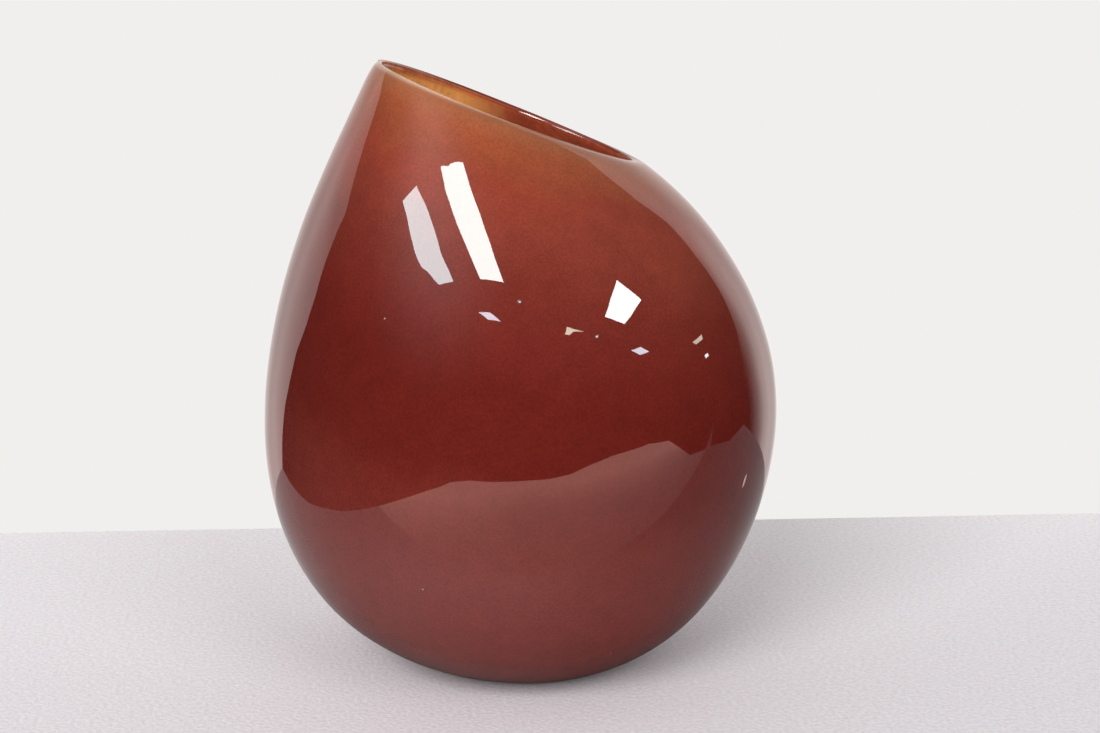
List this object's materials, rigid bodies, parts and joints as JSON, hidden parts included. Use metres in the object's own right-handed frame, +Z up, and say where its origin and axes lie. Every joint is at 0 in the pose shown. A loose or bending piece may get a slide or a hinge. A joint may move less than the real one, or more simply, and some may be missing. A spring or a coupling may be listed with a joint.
{
  "type": "art glass vase",
  "caption": "Gourd-shaped blown glass vase with a full round belly, walls that lean in to one side and a wide mouth cut on a slant, in cased oxblood and amber glass.",
  "frame": {"origin": "on the table, under the middle of the bounding box", "axes": "+Z up; -X towards the high side of the slanted mouth, +X towards its low side; XZ is the plane of symmetry"},
  "size_m": [0.25, 0.2502, 0.3002],
  "materials": {
    "clear_glass": "fire-polished, ground flat under the foot",
    "oxblood_glass": "powdered colour melted into the wall",
    "amber_glass": "fire-polished"
  },
  "bodies": {
    "root": {"clear_casing": "clear_glass", "colour_layer": "oxblood_glass", "amber_lining": "amber_glass"}
  },
  "joints": []
}
